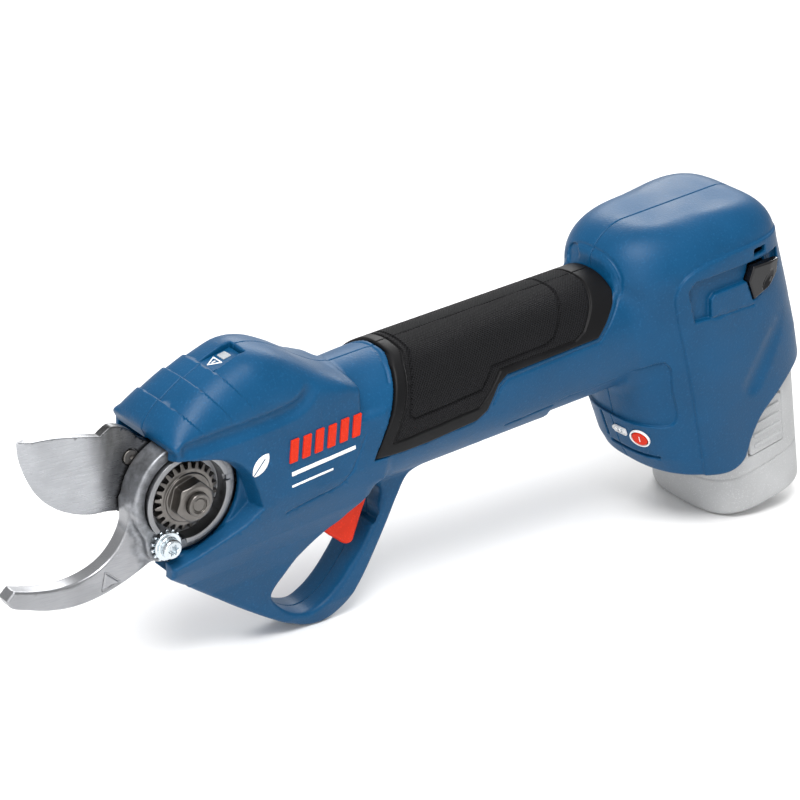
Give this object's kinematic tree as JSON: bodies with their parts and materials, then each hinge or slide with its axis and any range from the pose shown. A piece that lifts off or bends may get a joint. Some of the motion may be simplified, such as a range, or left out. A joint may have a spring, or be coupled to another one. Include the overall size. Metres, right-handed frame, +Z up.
{
  "type": "battery electric pruner",
  "caption": "Cordless electric secateurs: steel bypass blade over a hooked counter blade, geared head with finger guard and trigger, straight rubber grip and slide-in battery at the heel",
  "frame": {"origin": "middle of the footprint, on the surface that the tool stands on with its finger guard and the front edge of its battery", "axes": "+X from the blades to the battery, +Y to the side away from the pivot nut, +Z up"},
  "size_m": [0.3462, 0.061, 0.1292],
  "materials": {
    "blue_plastic": "satin, finely textured, saturated blue",
    "black_rubber": "soft matt black overmould with a fine diagonal knurl",
    "red_plastic": "smooth orange red",
    "black_plastic": "smooth black",
    "grey_plastic": "satin light grey",
    "brushed_steel": "brushed lengthwise, ground bevels",
    "dark_steel": "black oxide",
    "zinc_steel": "bright zinc plate",
    "gear_steel": "machined and greased",
    "aluminium": "die cast",
    "copper": "bare contact strip",
    "board_green": "solder resist",
    "clear_lens": "smooth translucent",
    "cell_wrap": "shrink wrap"
  },
  "bodies": {
    "housing": {"housing_screw_1": "dark_steel", "housing_screw_2": "dark_steel", "housing_screw_3": "dark_steel", "housing_screw_4": "dark_steel", "housing_screw_5": "dark_steel", "housing_screw_6": "dark_steel", "housing_left": "blue_plastic", "housing_right": "blue_plastic", "grip_left": "black_rubber", "grip_right": "black_rubber", "counter_blade": "brushed_steel", "clamp_ring": "zinc_steel", "pivot_nut": "dark_steel", "pivot_bolt": "dark_steel", "lock_star_washer": "zinc_steel", "lock_screw": "zinc_steel", "gear_frame": "aluminium", "frame_screw_1": "zinc_steel", "frame_screw_2": "zinc_steel", "pinion_bearing": "zinc_steel", "ring_gear": "gear_steel", "motor_can": "gear_steel", "motor_magnet": "gear_steel", "motor_end_cap": "aluminium", "controller_board": "board_green", "motor_lead_1": "red_plastic", "motor_lead_2": "black_plastic", "battery_lead_1": "red_plastic", "battery_lead_2": "black_plastic", "trigger_pin": "zinc_steel", "trigger_spring": "zinc_steel", "trigger_switch": "black_plastic", "panel_board": "board_green", "gauge_window": "clear_lens", "indicator_panel": "blue_plastic", "status_light": "clear_lens", "key_clip": "black_plastic", "battery_dock": "black_plastic", "dock_contact_1": "copper", "dock_contact_2": "copper"},
    "blade": {"cutting_blade": "brushed_steel", "blade_rivet": "dark_steel", "bevel_sector": "gear_steel"},
    "drive": {"bevel_pinion": "gear_steel", "planet_carrier": "gear_steel"},
    "planet_1": {"planet_gear_1": "gear_steel"},
    "planet_2": {"planet_gear_2": "gear_steel"},
    "planet_3": {"planet_gear_3": "gear_steel"},
    "rotor": {"motor_rotor": "gear_steel", "sun_gear": "gear_steel"},
    "trigger": {"trigger": "red_plastic"},
    "power_button": {"power_button": "red_plastic"},
    "battery": {"battery_case": "grey_plastic", "battery_cap": "grey_plastic", "battery_cell_1": "cell_wrap", "battery_cell_2": "cell_wrap", "battery_cell_3": "cell_wrap"},
    "release_left": {"release_button_left": "grey_plastic"},
    "release_right": {"release_button_right": "grey_plastic"}
  },
  "joints": [
    {"name": "blade_pivot", "type": "hinge", "parent": "housing", "child": "blade", "pos_m": [-0.10871, 0, 0.06735], "axis": [0, -1, 0], "range_deg": [0, 48]},
    {"name": "pinion_spin", "type": "hinge", "parent": "housing", "child": "drive", "pos_m": [-0.0789, 0, 0.07068], "axis": [0.9938, 0, 0.1111], "range_deg": [0, 160]},
    {"name": "rotor_spin", "type": "hinge", "parent": "housing", "child": "rotor", "pos_m": [-0.05107, 0, 0.07379], "axis": [0.9938, 0, 0.1111], "range_deg": [0, 720]},
    {"name": "planet_spin_1", "type": "hinge", "parent": "drive", "child": "planet_1", "pos_m": [-0.05107, 0.00877, 0.07379], "axis": [0.9938, 0, 0.1111], "range_deg": [-448, 0]},
    {"name": "planet_spin_2", "type": "hinge", "parent": "drive", "child": "planet_2", "pos_m": [-0.05192, -0.00439, 0.08135], "axis": [0.9938, 0, 0.1111], "range_deg": [-448, 0]},
    {"name": "planet_spin_3", "type": "hinge", "parent": "drive", "child": "planet_3", "pos_m": [-0.05023, -0.00439, 0.06624], "axis": [0.9938, 0, 0.1111], "range_deg": [-448, 0]},
    {"name": "trigger_pull", "type": "hinge", "parent": "housing", "child": "trigger", "pos_m": [-0.04881, 0, 0.04909], "axis": [0, -1, 0], "range_deg": [0, 8], "stiffness_Nm_per_rad": 0.25, "springref_deg": -11.46, "deforming": ["trigger_spring"]},
    {"name": "power_press", "type": "slide", "parent": "housing", "child": "power_button", "axis": [0.8265, 0.3308, 0.4555], "range_m": [0, 0.0008], "stiffness_N_per_m": 800, "springref_m": -0.0004},
    {"name": "battery_slide", "type": "slide", "parent": "housing", "child": "battery", "axis": [0.2212, 0, -0.9752], "range_m": [0, 0.095]},
    {"name": "release_left_press", "type": "slide", "parent": "battery", "child": "release_left", "axis": [0, 1, 0], "range_m": [0, 0.001], "stiffness_N_per_m": 2000, "springref_m": -0.0005},
    {"name": "release_right_press", "type": "slide", "parent": "battery", "child": "release_right", "axis": [0, -1, 0], "range_m": [0, 0.001], "stiffness_N_per_m": 2000, "springref_m": -0.0005}
  ],
  "couplings": [
    {"joint": "pinion_spin", "follows": "blade_pivot", "ratio": 3.3333},
    {"joint": "rotor_spin", "follows": "blade_pivot", "ratio": 15},
    {"joint": "planet_spin_1", "follows": "blade_pivot", "ratio": -9.3333},
    {"joint": "planet_spin_2", "follows": "blade_pivot", "ratio": -9.3333},
    {"joint": "planet_spin_3", "follows": "blade_pivot", "ratio": -9.3333}
  ]
}
